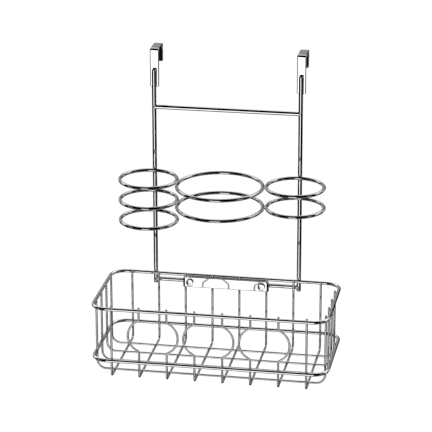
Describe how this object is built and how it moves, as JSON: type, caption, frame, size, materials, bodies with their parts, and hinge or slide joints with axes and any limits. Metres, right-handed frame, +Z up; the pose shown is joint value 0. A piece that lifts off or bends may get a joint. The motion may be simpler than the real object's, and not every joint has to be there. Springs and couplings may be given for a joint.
{
  "type": "over-door hair dryer and styling tool holder",
  "caption": "Over-the-door chrome wire holder with rings for a hair dryer, flat iron and brush above a wire basket with round windows along its front",
  "frame": {"origin": "on the door's top edge, in the plane of the door's front face, midway between the two hooks", "axes": "+X to the right as the user faces the holder, +Y back into the door, +Z up"},
  "size_m": [0.2648, 0.153, 0.3427],
  "materials": {
    "chrome_strip": "bright chrome plate on 2 mm steel strip",
    "chrome_frame": "bright chrome plate on 5 mm drawn wire",
    "chrome_ring": "bright chrome plate on 4 mm ring wire",
    "chrome_rail": "bright chrome plate on 4 mm rail wire",
    "chrome_wire": "bright chrome plate on 2.5 mm basket wire",
    "chrome_plate": "bright chrome plate on 1.5 mm sheet and 4 mm flat bar",
    "screw": "nickel-chrome machine screw",
    "pad": "matt closed-cell foam rubber"
  },
  "bodies": {
    "root": {"left_hook": "chrome_strip", "right_hook": "chrome_strip", "left_upright": "chrome_frame", "right_upright": "chrome_frame", "upper_crossbar": "chrome_frame", "lower_crossbar": "chrome_frame", "brush_ring_upper": "chrome_ring", "brush_ring_lower": "chrome_ring", "dryer_ring_upper": "chrome_ring", "dryer_ring_lower": "chrome_ring", "iron_ring_upper": "chrome_ring", "iron_ring_middle": "chrome_ring", "iron_ring_lower": "chrome_ring", "basket_top_rail": "chrome_rail", "basket_mid_rail": "chrome_rail", "cross_wire_1": "chrome_wire", "cross_wire_2": "chrome_wire", "cross_wire_3": "chrome_wire", "cross_wire_4": "chrome_wire", "cross_wire_5": "chrome_wire", "cross_wire_6": "chrome_wire", "cross_wire_7": "chrome_wire", "cross_wire_8": "chrome_wire", "long_wire_1": "chrome_wire", "long_wire_2": "chrome_wire", "long_wire_3": "chrome_wire", "long_wire_4": "chrome_wire", "clamp_plate": "chrome_plate", "rear_strap": "chrome_plate", "clamp_screws": "screw", "left_hook_pad": "pad", "right_hook_pad": "pad"}
  },
  "joints": []
}
